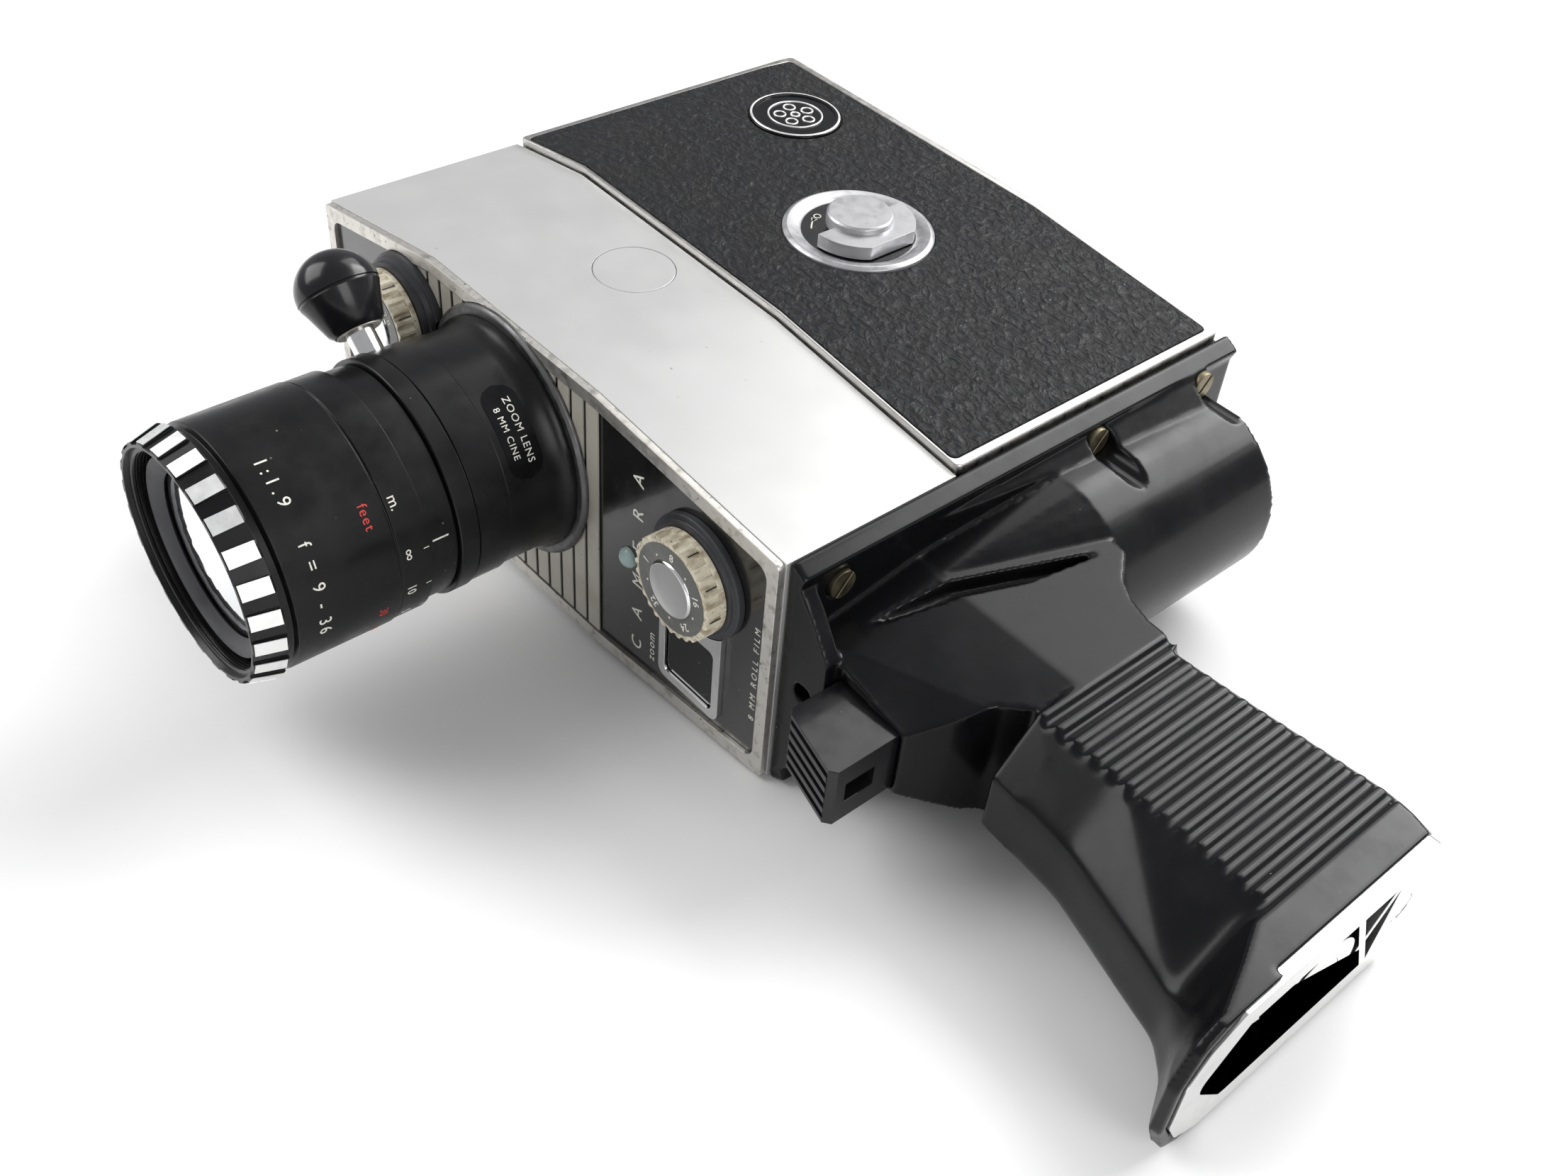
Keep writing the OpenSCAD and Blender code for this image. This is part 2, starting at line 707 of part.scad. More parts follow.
// Coil spring: a round wire swept along a helix
function coil_point(r, wire, turns, length, i, j, n, m) = let(
        a = 360 * turns * i / n,
        b = 360 * j / m,
        q = r + wire * cos(b)
    ) [q * cos(a), q * sin(a), length * i / n + wire * sin(b)];
module coil(r, wire, turns, length) {
    n = 12 * turns;
    m = 6;
    points = [for (i = [0:n]) for (j = [0:m - 1]) coil_point(r, wire, turns, length, i, j, n, m)];
    sides = [for (i = [0:n - 1]) for (j = [0:m - 1])
        [i * m + j, i * m + (j + 1) % m, (i + 1) * m + (j + 1) % m, (i + 1) * m + j]];
    ends = [[for (j = [m - 1:-1:0]) j], [for (j = [0:m - 1]) n * m + j]];
    polyhedron(points, concat(sides, ends));
}

module trigger_spring() place() color("#c0c2c4")
    translate([95.6, 13.6, 0]) rotate([-90, 0, 0]) coil(2.4, 0.35, 9, 16.8);

// Plate under the grip: an open frame with a zigzag web and a lug at each end
module foot_plate() place() color("#d4d6d8") difference() {
    slab_x(168.5, foot_x) difference() {
        foot_outline(0);
        difference() {
            translate([2.5, -9]) square([36, 18]);
            foot_web();
            translate([tripod_y, 0]) circle(r = 9.3);
        }
    }
    for (y = foot_screw_y) translate([0, y, 0]) {
        bar_x(1.6, 160, 180);
        bar_x(2.75, foot_x - 1, 180);
    }
    translate([0, tripod_y, 0]) bar_x(5.6, 160, 180);
}

module foot_outline(inset) {
    front = -9.6 + inset;
    back = 46.8 - inset;
    half = grip_half - 0.5 - inset;
    right = [[front, 5], [front + 3, half - 3.2], [front + 9, half], [back, half]];
    left = [[back, -half], [front + 9, -half], [front + 3, 3.2 - half], [front, -5]];
    polygon(rounded(concat(right, left), 2.2));
}

module foot_web() {
    for (y = [8, 33]) for (side = [-1, 1])
        translate([y, 0]) rotate(side * 62) square([24, 1.5], center = true);
}

module foot_screws() place() color("#c9cbcc") for (y = foot_screw_y) translate([0, y, 0]) difference() {
    union() {
        bar_x(1.5, 164, foot_x - 1);
        bar_x(2.7, foot_x - 1, foot_x - 0.1);
    }
    rotate([30, 0, 0]) block([foot_x - 0.6, -4, -0.3], [foot_x + 1, 4, 0.3]);
}

module tripod_bush() place() color("#b8babc") translate([0, tripod_y, 0]) difference() {
    union() {
        bar_x(5.6, 158, foot_x);
        bar_x(7.2, 158, 168.5);
    }
    bar_x(tripod_r, 159.4, 180);
}

// ---------- finder ----------

module finder_mirror() place() color("#dfe6ea") translate([82.4, mirror_y, 0]) rotate([0, 0, 45])
    block([-7, -0.8, -6], [7, 0.8, 6]);

module eyepiece_ring() place() color("#1a1b1d") at_xz(eye_x, 0) turned_y([
    [6.8, 88.8], [eye_r, 88.8], [eye_r, 100.6], [9.4, 101.2],
    [8.6, 101.2], [8.2, 100.6], [7.6, 95.2], [6.8, 94.4]
]);

module eyepiece_lens() place() color("#8fa6b3") at_xz(eye_x, 0) glass(6.8, 89.8, 93.4, 0.7);

// ---------- film transport and drive ----------

module shutter_disc() place() color("#2f3032") at_xz(shutter_x, shutter_z) {
    bar_y(1.5, 21, gate_y - 0.2);
    bar_y(3.6, 25, 26);
    difference() {
        bar_y(19.5, 24, 24.8);
        rotate([0, -30, 0]) slab_y(20, 30) polygon([[3, 0], [40, 40], [60, 0], [40, -60]]);
    }
}

module film_gate() place() color("#b9bbbd") difference() {
    union() {
        block([lens_x - 19, gate_y, -3], [lens_x + 19, gate_y + 1.4, 18.2]);
        for (z = [-0.2, 17.5])
            block([lens_x - 19, gate_y + 1.4, z - 0.6], [lens_x + 19, gate_y + 2, z + 0.6]);
    }
    block([lens_x - 1.9, gate_y - 1, lens_z - 2.5], [lens_x + 1.9, gate_y + 3, lens_z + 2.5]);
    block([lens_x - 4, gate_y - 1, 0.7], [lens_x + 4, gate_y + 3, 2.1]);
}

module film_claw() place() color("#9a9c9e") {
    block([lens_x - 1.5, 26.2, -5.4], [lens_x + 1.5, 27.4, 1.8]);
    block([lens_x - 0.6, 27.4, 1], [lens_x + 0.6, gate_y + 2.2, 1.8]);
}

module pressure_plate() place() color("#87898b") {
    block([lens_x - 15, gate_y + 2.4, 2.4], [lens_x + 15, gate_y + 3.6, 16.4]);
    block([lens_x - 2, gate_y + 3.6, 6], [lens_x + 2, gate_y + 7, 13]);
}

module takeup_spool() place() color("#a7a9ab") at_xy(takeup_x, spool_y) difference() {
    union() {
        bar_z(25.3, 0, 0.9);
        bar_z(7.8, 0, 18);
        bar_z(25.3, 17.1, 18);
    }
    bar_z(3.9, -1, 20);
    for (i = [0:2]) rotate(120 * i) translate([15.5, 0, -1]) cylinder(r = 5.2, h = 30);
}

module spindle() {
    bar_z(3, -10.6, 0);
    bar_z(8.4, -10.6, -8.4);
    bar_z(5, partition_top + 0.4, -0.3);
    bar_z(3.8, -0.3, 19.6);
    for (i = [0:2]) rotate(120 * i) block([-0.6, 0, 18.4], [0.6, 3.8, 19.6]);
}

module takeup_spindle() place() color("#c2c4c6") at_xy(takeup_x, spool_y) spindle();

module supply_spindle() place() color("#c2c4c6") at_xy(supply_x, spool_y) spindle();

module spring_barrel() place() color("#b39a5a") at_xy(crank_x, crank_y) difference() {
    union() {
        slab_z(-13.4, -11.4) polygon(scalloped(24.2, 60));
        bar_z(23, -21.4, -13.4);
    }
    bar_z(3 + fit, -30, 0);
    turned_z([[6, -20], [21.6, -20], [21.6, -13], [6, -13]]);
}

// The crank's forked arm folds away in the dish, and its handle lies between the prongs
module winding_crank() place() color("#c6c8ca") at_xy(crank_x, crank_y) difference() {
    union() {
        bar_z(3, -26, -10.8);
        bar_z(4, -26, -22.8);
        bar_z(7, -28.2, -24.6);
        slab_z(-28, -24.6) polygon(rounded([[-22.3, -6], [4, -6], [4, 6], [-22.3, 6]], 1.8));
    }
    block([-30, -2.6, -30], [-7.2, 2.6, -24]);
    handle_place() bar_y(0.8 + fit, -8, 8);
}

module handle_place() {
    at_xz(-20.2, -26.6) children();
}

module crank_handle() place() color("#1c1d1f") at_xy(crank_x, crank_y) handle_place() {
    bar_y(2.1, -2.3, 2.3);
    bar_y(0.8, -5.6, 5.6);
    bar_x(2.1, 0, 12);
}

front_housing();
body_casting();
right_cover();
right_leather();
counter_window();
counter_dial();
door_panel();
door_leather();
door_badge();
lock_ring();
lock_key();
front_bezel();
name_panel();
stripe_panel();
meter_frame();
meter_glass();
indicator_bead();
battery_cover();
battery_cell();
speed_dial_base();
speed_dial();
speed_dial_cap();
aperture_dial_base();
aperture_dial();
aperture_dial_cap();
lens_flange();
lens_barrel();
index_sleeve();
zoom_ring();
zoom_rod();
zoom_knob();
variator_cell();
variator_lens();
front_cell();
front_lens();
focus_barrel();
fluted_ring();
relay_lens();
prism_bracket();
beam_prism();
grip_casting();
base_screws();
trigger();
trigger_spring();
foot_plate();
foot_screws();
tripod_bush();
finder_mirror();
eyepiece_ring();
eyepiece_lens();
shutter_disc();
film_gate();
film_claw();
pressure_plate();
takeup_spool();
takeup_spindle();
supply_spindle();
spring_barrel();
winding_crank();
crank_handle();
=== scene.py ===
# Looks of the pistol-grip cine camera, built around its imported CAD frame.
# Lengths are in metres, in the frame's own axes: the lens looks along -Y, the film door faces +Z,
# and +X runs from the top of the body to the foot of the grip.
import json
import math

import bmesh
import bpy
from mathutils import Matrix, Vector


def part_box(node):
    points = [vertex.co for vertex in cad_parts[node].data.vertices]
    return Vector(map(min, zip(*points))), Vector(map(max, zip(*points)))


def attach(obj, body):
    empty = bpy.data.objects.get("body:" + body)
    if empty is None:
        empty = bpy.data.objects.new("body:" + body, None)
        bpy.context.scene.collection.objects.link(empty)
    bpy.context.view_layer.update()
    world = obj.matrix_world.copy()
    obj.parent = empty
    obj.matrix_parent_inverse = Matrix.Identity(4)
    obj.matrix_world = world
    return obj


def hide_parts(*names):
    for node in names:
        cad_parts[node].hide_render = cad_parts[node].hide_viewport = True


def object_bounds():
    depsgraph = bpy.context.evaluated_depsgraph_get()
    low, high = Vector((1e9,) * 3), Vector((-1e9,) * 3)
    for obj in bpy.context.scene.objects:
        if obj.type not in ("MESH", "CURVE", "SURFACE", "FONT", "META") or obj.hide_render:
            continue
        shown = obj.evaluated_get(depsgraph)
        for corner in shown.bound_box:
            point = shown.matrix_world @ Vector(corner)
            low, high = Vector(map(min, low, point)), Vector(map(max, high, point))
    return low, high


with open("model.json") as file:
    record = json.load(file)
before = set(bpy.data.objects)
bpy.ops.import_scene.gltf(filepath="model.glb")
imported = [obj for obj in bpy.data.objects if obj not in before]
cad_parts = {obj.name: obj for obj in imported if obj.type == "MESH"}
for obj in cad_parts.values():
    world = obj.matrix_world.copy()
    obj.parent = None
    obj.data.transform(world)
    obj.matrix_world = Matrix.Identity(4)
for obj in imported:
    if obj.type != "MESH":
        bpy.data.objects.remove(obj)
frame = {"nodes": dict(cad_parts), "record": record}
cad_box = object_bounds()
nodes = frame["nodes"]
record = frame["record"]

body_of_node = {n: b for b, members in record["behaviour"]["bodies"].items() for n in members}
slot_of_node = {s["node"]: s["material_slot"] for s in record["subparts"]}


# ---------- places taken from the frame ----------

BOXES = {node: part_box(node) for node in nodes}


def centre_of(node):
    low, high = BOXES[node]
    return (low + high) / 2


def size_of(node):
    low, high = BOXES[node]
    return high - low


lens_axis = centre_of("focus_barrel")
lens_front = BOXES["fluted_ring"][0].y
stripe_floor = BOXES["stripe_panel"][0].y + 0.0003
focus_radius = size_of("focus_barrel").x / 2


# ---------- procedural materials ----------

class Surface:
    """A Principled material with a small node tree built step by step in object coordinates."""

    def __init__(self, name, colour, roughness, metallic=0.0, **sockets):
        self.material = bpy.data.materials.new(name)
        self.material.use_nodes = True
        self.tree = self.material.node_tree
        self.shader = self.tree.nodes["Principled BSDF"]
        self.set("Base Color", (*colour, 1.0))
        self.set("Roughness", roughness)
        self.set("Metallic", metallic)
        for key, value in sockets.items():
            self.set(key.replace("_", " "), value)
        self.place = self.tree.nodes.new("ShaderNodeTexCoord").outputs["Object"]
        self.bump = None

    def set(self, socket, value):
        self.shader.inputs[socket].default_value = value

    def link(self, out, into):
        self.tree.links.new(out, into)

    def scaled(self, scale):
        mapping = self.tree.nodes.new("ShaderNodeMapping")
        mapping.inputs["Scale"].default_value = scale
        self.link(self.place, mapping.inputs["Vector"])
        return mapping.outputs["Vector"]

    def along(self, axis):
        node = self.tree.nodes.new("ShaderNodeSeparateXYZ")
        self.link(self.place, node.inputs[0])
        return node.outputs[axis]

    def noise(self, scale, detail=4.0, rough=0.55, distortion=0.0):
        """Noise with about `scale` features per metre; scale may differ along each axis."""
        scale = scale if isinstance(scale, tuple) else (scale, scale, scale)
        node = self.tree.nodes.new("ShaderNodeTexNoise")
        node.inputs["Scale"].default_value = 1.0
        node.inputs["Detail"].default_value = detail
        node.inputs["Roughness"].default_value = rough
        node.inputs["Distortion"].default_value = distortion
        self.link(self.scaled(scale), node.inputs["Vector"])
        return node.outputs["Fac"]

    def cells(self, scale, feature="F1"):
        scale = scale if isinstance(scale, tuple) else (scale, scale, scale)
        node = self.tree.nodes.new("ShaderNodeTexVoronoi")
        node.feature = feature
        node.inputs["Scale"].default_value = 1.0
        self.link(self.scaled(scale), node.inputs["Vector"])
        return node.outputs["Distance"]

    def spread(self, value, low, high, new_low=0.0, new_high=1.0):
        node = self.tree.nodes.new("ShaderNodeMapRange")
        self.link(value, node.inputs["Value"])
        ends = {"From Min": low, "From Max": high, "To Min": new_low, "To Max": new_high}
        for socket, number in ends.items():
            node.inputs[socket].default_value = number
        return node.outputs["Result"]

    def maths(self, operation, a, b):
        node = self.tree.nodes.new("ShaderNodeMath")
        node.operation = operation
        for socket, value in zip(node.inputs, (a, b)):
            if isinstance(value, (int, float)):
                socket.default_value = value
            else:
                self.link(value, socket)
        return node.outputs[0]

    def tint(self, factor, colour):
        """Mixes another colour over the present one where factor is high."""
        node = self.tree.nodes.new("ShaderNodeMix")
        node.data_type = "RGBA"
        self.link(factor, node.inputs["Factor"])
        before = self.shader.inputs["Base Color"]
        if before.is_linked:
            self.link(before.links[0].from_socket, node.inputs[6])
        else:
            node.inputs[6].default_value = before.default_value
        node.inputs[7].default_value = (*colour, 1.0)
        self.link(node.outputs[2], before)
        return self

    def rough(self, value, low, high, new_low, new_high):
        self.link(self.spread(value, low, high, new_low, new_high), self.shader.inputs["Roughness"])
        return self

    def raised(self, height, strength, distance):
        node = self.tree.nodes.new("ShaderNodeBump")
        node.inputs["Strength"].default_value = strength
        node.inputs["Distance"].default_value = distance
        self.link(height, node.inputs["Height"])
        if self.bump:
            self.link(self.bump, node.inputs["Normal"])
        self.bump = node.outputs["Normal"]
        self.link(self.bump, self.shader.inputs["Normal"])
        return self

    def specks(self, scale, radius, colour):
        """Small scattered dots, such as dust."""
        dots = self.spread(self.cells(scale), radius, radius * 0.6)
        patches = self.spread(self.noise(scale / 9, 2.0), 0.52, 0.62)
        return self.tint(self.maths("MULTIPLY", dots, patches), colour)


def silver_paint():
    s = Surface("silver_paint", (0.52, 0.52, 0.51), 0.36, metallic=0.4)
    s.tint(s.spread(s.noise(28, 5), 0.35, 0.75), (0.55, 0.55, 0.54))
    s.specks(260, 0.09, (0.30, 0.29, 0.26))
    s.rough(s.noise(90, 6), 0.3, 0.7, 0.30, 0.42)
    s.raised(s.noise(2600, 2), 0.10, 0.00004)
    return s.material


def panel_rim():
    s = Surface("panel_rim", (0.56, 0.55, 0.53), 0.32, metallic=1.0)
    s.tint(s.spread(s.noise(160, 6), 0.5, 0.75), (0.48, 0.46, 0.43))
    s.rough(s.noise(500, 5), 0.3, 0.7, 0.22, 0.42)
    s.raised(s.noise((300, 5200, 5200), 3), 0.10, 0.00003)
    return s.material


def bezel_metal():
    s = Surface("bezel_metal", (0.62, 0.60, 0.56), 0.36, metallic=0.85)
    s.tint(s.spread(s.noise(420, 8, 0.65), 0.52, 0.70), (0.30, 0.285, 0.25))
    s.specks(700, 0.18, (0.10, 0.09, 0.08))
    s.rough(s.noise(600, 6), 0.3, 0.7, 0.28, 0.50)
    s.raised(s.noise(1600, 5), 0.22, 0.00005)
    return s.material


def black_enamel(name="black_casting", rough=0.24):
    s = Surface(name, (0.0035, 0.0037, 0.0042), rough, Specular_IOR_Level=0.20,
                Coat_Weight=0.05, Coat_Roughness=0.12)
    s.tint(s.spread(s.noise(70, 6), 0.45, 0.8), (0.008, 0.008, 0.009))
    s.specks(300, 0.05, (0.24, 0.23, 0.21))
    s.rough(s.noise(120, 7, 0.6), 0.3, 0.75, rough - 0.06, rough + 0.10)
    s.raised(s.noise(900, 4), 0.10, 0.00005)
    s.raised(s.noise(60, 2), 0.10, 0.0003)
    return s.material


def grained_leather():
    s = Surface("grained_leather", (0.006, 0.0064, 0.0072), 0.5, Specular_IOR_Level=0.24)
    folds = s.noise((430, 560, 430), 3.0, 0.5, 1.2)
    pebbles = s.cells((520, 700, 520), "SMOOTH_F1")
    grain = s.maths("ADD", folds, s.maths("MULTIPLY", pebbles, 0.45))
    s.tint(s.spread(grain, 0.72, 0.98), (0.016, 0.017, 0.018))
    s.tint(s.spread(s.noise(45, 4), 0.55, 0.8), (0.011, 0.011, 0.0105))
    s.specks(240, 0.045, (0.30, 0.29, 0.27))
    s.rough(grain, 0.5, 0.95, 0.62, 0.42)
    s.raised(grain, 1.0, 0.0007)
    s.raised(s.noise(3800, 3), 0.16, 0.00005)
    return s.material


def black_panel():
    s = Surface("black_panel", (0.006, 0.006, 0.0065), 0.20, Coat_Weight=0.5, Coat_Roughness=0.08)
    s.specks(420, 0.07, (0.22, 0.20, 0.16))
    s.rough(s.noise(180, 6), 0.35, 0.75, 0.14, 0.32)
    s.raised(s.noise(700, 3), 0.06, 0.00004)
    return s.material


def stripes():
    s = Surface("stripes", (0.46, 0.44, 0.38), 0.36, metallic=0.2)
    s.tint(s.spread(s.noise(130, 6), 0.48, 0.78), (0.36, 0.335, 0.28))
    s.specks(500, 0.10, (0.12, 0.10, 0.07))
    grooves = s.spread(s.along(1), stripe_floor - 0.00005, stripe_floor - 0.00003)
    s.tint(grooves, (0.006, 0.006, 0.0065))
    s.rough(s.noise(300, 5), 0.3, 0.7, 0.28, 0.46)
    s.raised(s.noise((4200, 300, 300), 3), 0.12, 0.00003)
    return s.material


def turned_black(name="lens_black", rough=0.29, colour=(0.005, 0.005, 0.0056)):
    """Black anodised metal with fine lathe marks round the lens axis."""
    s = Surface(name, colour, rough, metallic=0.1, Specular_IOR_Level=0.30)
    s.tint(s.spread(s.noise(90, 7), 0.52, 0.8), (0.013, 0.0125, 0.012))
    s.specks(260, 0.055, (0.20, 0.18, 0.14))
    s.rough(s.noise(150, 7), 0.3, 0.75, rough - 0.06, rough + 0.12)
    s.raised(s.noise((30, 9000, 30), 2), 0.10, 0.00002)
    return s.material


def metal(name, colour, rough, stain=0.7, lines=(700, 6500, 700), metallic=1.0):
    s = Surface(name, colour, rough, metallic=metallic)
    s.tint(s.spread(s.noise(200, 6), 0.55, 0.8), tuple(c * stain for c in colour))
    s.rough(s.noise(400, 6), 0.3, 0.75, rough * 0.7, rough * 1.6)
    s.raised(s.noise(lines, 3), 0.08, 0.00003)
    return s.material


def dial_ivory():
    s = Surface("dial_ivory", (0.66, 0.61, 0.48), 0.26, Coat_Weight=0.5, Coat_Roughness=0.1,
                Subsurface_Weight=0.15, Subsurface_Radius=(0.0012, 0.0010, 0.0006))
    s.tint(s.spread(s.noise((700, 240, 700), 6, 0.6), 0.46, 0.66), (0.33, 0.27, 0.17))
    s.specks(900, 0.20, (0.05, 0.04, 0.03))
    s.rough(s.noise(500, 5), 0.3, 0.7, 0.18, 0.40)
    s.raised(s.noise(1100, 4), 0.20, 0.00006)
    return s.material


def plastic(name, colour, rough=0.18):
    s = Surface(name, colour, rough, Specular_IOR_Level=0.3, Coat_Weight=0.12, Coat_Roughness=0.08)
    s.tint(s.spread(s.noise(110, 6), 0.5, 0.85), tuple(min(1, c * 1.7 + 0.004) for c in colour))
    s.specks(420, 0.06, (0.20, 0.19, 0.17))
    s.rough(s.noise(260, 6), 0.3, 0.75, rough * 0.75, rough * 1.7)
    s.raised(s.noise(1500, 3), 0.06, 0.00003)
    return s.material


def optical_glass():
    s = Surface("optical_glass", (0.90, 0.95, 1.0), 0.0, Transmission_Weight=1.0, IOR=1.62,
                Coat_Weight=1.0, Coat_Roughness=0.02, Coat_IOR=1.9)
    s.rough(s.noise(160, 5), 0.5, 0.9, 0.0, 0.04)
    s.raised(s.noise(80, 2), 0.01, 0.00002)
    return s.material


def painted_reflection_glass():
    """The front element: a coated face over a dark barrel, coloured as a near-white mirror, a painted reflection:
    it shines bright where it mirrors the room, far brighter than real lens glass.
    """
    s = Surface("painted_reflection_glass", (0.93, 0.94, 0.96), 0.06, metallic=0.95,
                Coat_Weight=1.0, Coat_Roughness=0.02)
    s.tint(s.spread(s.noise(50, 3), 0.4, 0.8), (0.80, 0.84, 0.90))
    s.rough(s.noise(220, 5), 0.4, 0.9, 0.03, 0.09)
    s.raised(s.noise(60, 2), 0.01, 0.00002)
    return s.material


def ink(name, colour):
    s = Surface(name, colour, 0.5)
    s.tint(s.spread(s.noise(1500, 6, 0.7), 0.55, 0.72), tuple(c * 0.45 for c in colour))
    s.raised(s.noise(3000, 3), 0.15, 0.00002)
    return s.material


def matte(name, colour, rough=0.6):
    s = Surface(name, colour, rough)
    s.tint(s.spread(s.noise(140, 6), 0.5, 0.8), tuple(c * 0.75 for c in colour))
    s.raised(s.noise(1200, 4), 0.15, 0.00005)
    return s.material


LOOKS = {
    "silver_paint": silver_paint(),
    "panel_rim": panel_rim(),
    "black_casting": black_enamel(),
    "grained_leather": grained_leather(),
    "black_panel": black_panel(),
    "bezel_metal": bezel_metal(),
    "stripes": stripes(),
    "chrome": metal("chrome", (0.80, 0.80, 0.79), 0.13, 0.8),
    "black_plastic": plastic("black_plastic", (0.008, 0.008, 0.009)),
    "meter_window": plastic("meter_window", (0.002, 0.002, 0.003), 0.05),
    "bead_plastic": plastic("bead_plastic", (0.36, 0.47, 0.44), 0.22),
    "cell_steel": metal("cell_steel", (0.62, 0.62, 0.61), 0.25),
    "dial_ivory": dial_ivory(),
    "dial_base": turned_black("dial_base", 0.42, (0.045, 0.046, 0.050)),
    "flange_grey": metal("flange_grey", (0.15, 0.15, 0.15), 0.42),
    "lens_black": turned_black(),
    "brass": metal("brass", (0.62, 0.45, 0.18), 0.30),
    "optical_glass": optical_glass(),
    "steel": metal("steel", (0.52, 0.52, 0.53), 0.28),
    "spring_steel": metal("spring_steel", (0.55, 0.55, 0.56), 0.25),
    "mirror": metal("mirror", (0.90, 0.90, 0.92), 0.03, 0.95),
    "white_dial": matte("white_dial", (0.78, 0.78, 0.74)),
    "brass_screw": metal("brass_screw", (0.20, 0.175, 0.115), 0.42, 0.4),
    "badge": black_enamel("badge", 0.16),
}
WHITE_INK = ink("white_ink", (0.72, 0.71, 0.64))
RED_INK = ink("red_ink", (0.55, 0.035, 0.03))
# Black ink for printed marks, also used for the painted shade in the dials' rim grooves.
BLACK_INK_AND_SHADE = ink("black_ink_and_shade", (0.01, 0.01, 0.01))
BRIGHT = metal("bright_aluminium", (0.88, 0.88, 0.87), 0.30, 0.9, (5000, 400, 5000), 0.65)
KEY_METAL = metal("key_aluminium", (0.46, 0.46, 0.47), 0.36, 0.9, (2600, 400, 2600), 0.8)
DIAL_FACE = plastic("dial_face", (0.11, 0.11, 0.105), 0.24)


# ---------- making pieces ----------

INK_DEPTH = 0.00006


def new_object(name, mesh, material):
    piece = bpy.data.objects.new(name, mesh)
    bpy.context.scene.collection.objects.link(piece)
    if material:
        mesh.materials.clear()
        mesh.materials.append(material)
    return piece


def add_piece(name, mesh, material, body):
    piece = new_object(name, mesh, material)
    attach(piece, body)
    return piece


def baked(piece):
    """The piece's mesh with its modifiers applied."""
    graph = bpy.context.evaluated_depsgraph_get()
    mesh = bpy.data.meshes.new_from_object(piece.evaluated_get(graph))
    piece.modifiers.clear()
    piece.data = mesh
    return piece


def crisp(mesh, angle=32):
    for polygon in mesh.polygons:
        polygon.use_smooth = True
    mesh.set_sharp_from_angle(angle=math.radians(angle))


def refined(node, bevel, material=None, segments=2, angle=34):
    """A copy of a CAD node with real rounded edges, which stands for that node."""
    mesh = nodes[node].data.copy()
    shape = bmesh.new()
    shape.from_mesh(mesh)
    bmesh.ops.remove_doubles(shape, verts=shape.verts, dist=2e-6)
    bmesh.ops.dissolve_limit(shape, angle_limit=math.radians(0.4), verts=shape.verts, edges=shape.edges)
    shape.to_mesh(mesh)
    shape.free()
    piece = new_object("fine_" + node, mesh, material or LOOKS[slot_of_node[node]])
    edge = piece.modifiers.new("edge", "BEVEL")
    edge.width = bevel
    edge.segments = segments
    edge.limit_method = "ANGLE"
    edge.angle_limit = math.radians(angle)
    edge.use_clamp_overlap = True
    edge.miter_outer = "MITER_ARC"
    baked(piece)
    crisp(piece.data)
    weighted = piece.modifiers.new("normals", "WEIGHTED_NORMAL")
    weighted.keep_sharp = True
    baked(piece)
    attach(piece, body_of_node[node])
    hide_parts(node)


def lathe(name, profile, origin, direction, material, body, steps=96):
    """A profile of (radius, height) points turned about a line; a closed profile makes a closed solid."""
    up = Vector(direction).normalized()
    turn = up.to_track_quat("Z", "Y").to_matrix().to_4x4()
    shape = bmesh.new()
    rings = []
    for radius, height in profile:
        if radius < 1e-7:
            rings.append([shape.verts.new((0, 0, height))])
            continue
        rings.append([shape.verts.new((radius * math.cos(2 * math.pi * i / steps),
                                       radius * math.sin(2 * math.pi * i / steps), height))
                      for i in range(steps)])
    closing = [] if len(rings[0]) == 1 else [(rings[-1], rings[0])]
    for a, b in list(zip(rings, rings[1:])) + closing:
        for i in range(steps):
            corners = [a[i % len(a)], a[(i + 1) % len(a)], b[(i + 1) % len(b)], b[i % len(b)]]
            corners = list(dict.fromkeys(corners))
            if len(corners) > 2:
                shape.faces.new(corners)
    bmesh.ops.recalc_face_normals(shape, faces=shape.faces)
    bmesh.ops.transform(shape, matrix=Matrix.Translation(origin) @ turn, verts=shape.verts)
    mesh = bpy.data.meshes.new(name)
    shape.to_mesh(mesh)
    shape.free()
    crisp(mesh)
    return add_piece(name, mesh, material, body)


def rod_ring(radius, thick, height, sides=10):
    """Profile of a ring with a round section."""
    turns = [2 * math.pi * i / sides for i in range(sides)]
    return [(radius + thick * math.cos(a), height + thick * math.sin(a)) for a in turns]


def text_mesh(words, size, spacing=1.0):
    curve = bpy.data.curves.new("letters", "FONT")
    curve.body = words
    curve.size = size
    curve.space_character = spacing
    curve.align_x = "CENTER"
    curve.extrude = INK_DEPTH / 2
    curve.resolution_u = 3
    holder = bpy.data.objects.new("letters", curve)
    bpy.context.scene.collection.objects.link(holder)
    graph = bpy.context.evaluated_depsgraph_get()
    mesh = bpy.data.meshes.new_from_object(holder.evaluated_get(graph))
    bpy.data.objects.remove(holder)
    bpy.data.curves.remove(curve)
    return mesh


def bar_mesh(width, height, depth=INK_DEPTH):
    """A small flat mark, its foot on the baseline."""
    shape = bmesh.new()
    bmesh.ops.create_cube(shape, size=1.0)
    for v in shape.verts:
        v.co = Vector((v.co.x * width, (v.co.y + 0.5) * height, v.co.z * depth))
    bmesh.ops.subdivide_edges(shape, edges=shape.edges, cuts=2)
    mesh = bpy.data.meshes.new("mark")
    shape.to_mesh(mesh)
    shape.free()
    return mesh


